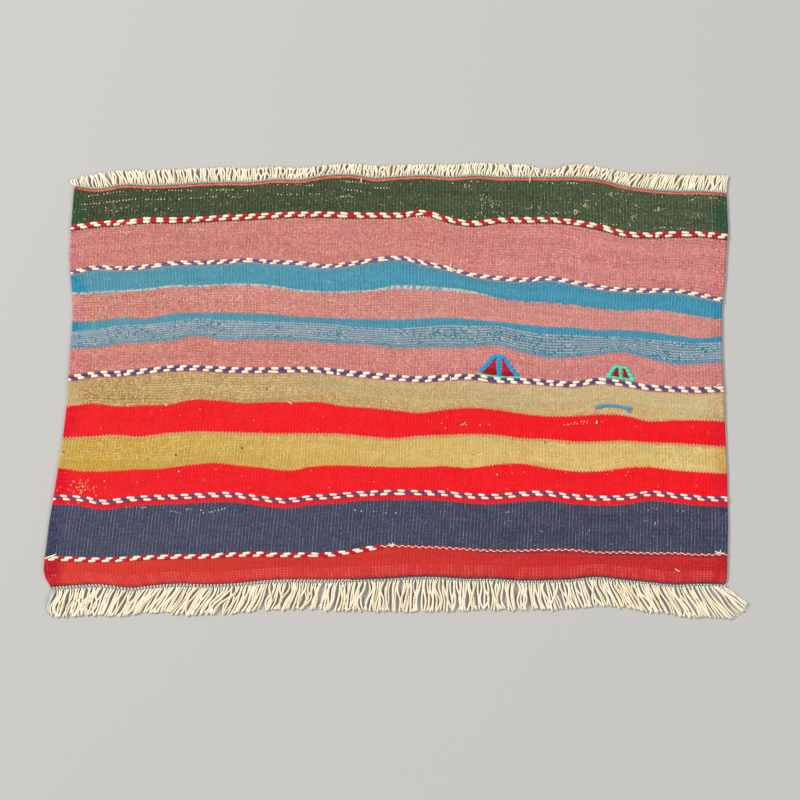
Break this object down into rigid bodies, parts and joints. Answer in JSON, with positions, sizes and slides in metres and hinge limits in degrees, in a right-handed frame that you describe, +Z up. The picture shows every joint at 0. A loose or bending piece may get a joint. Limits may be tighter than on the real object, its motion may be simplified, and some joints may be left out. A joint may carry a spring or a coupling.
{
  "type": "flat-woven kilim rug",
  "caption": "Small flat-woven striped wool kilim with raised twined bands, brocaded trapezoids and a cotton warp fringe at both ends, lying flat.",
  "frame": {"origin": "on the floor under the middle of the woven cloth", "axes": "+X along the weft, the long way of the rug; +Y along the warp, towards the far fringe; +Z up, off the floor"},
  "size_m": [0.8566, 0.5586, 0.0055],
  "materials": {
    "striped_wool": "weft-faced plain weave of dyed wool in stripes, matt, ribbed along the warp",
    "warp_cotton": "plied undyed cotton warp yarns, matt",
    "blue_wool": "loosely plied dyed wool yarn, matt"
  },
  "bodies": {
    "root": {"kilim_field": "striped_wool", "fringe_far": "warp_cotton", "fringe_near": "warp_cotton", "blue_darning_yarn": "blue_wool"}
  },
  "joints": []
}
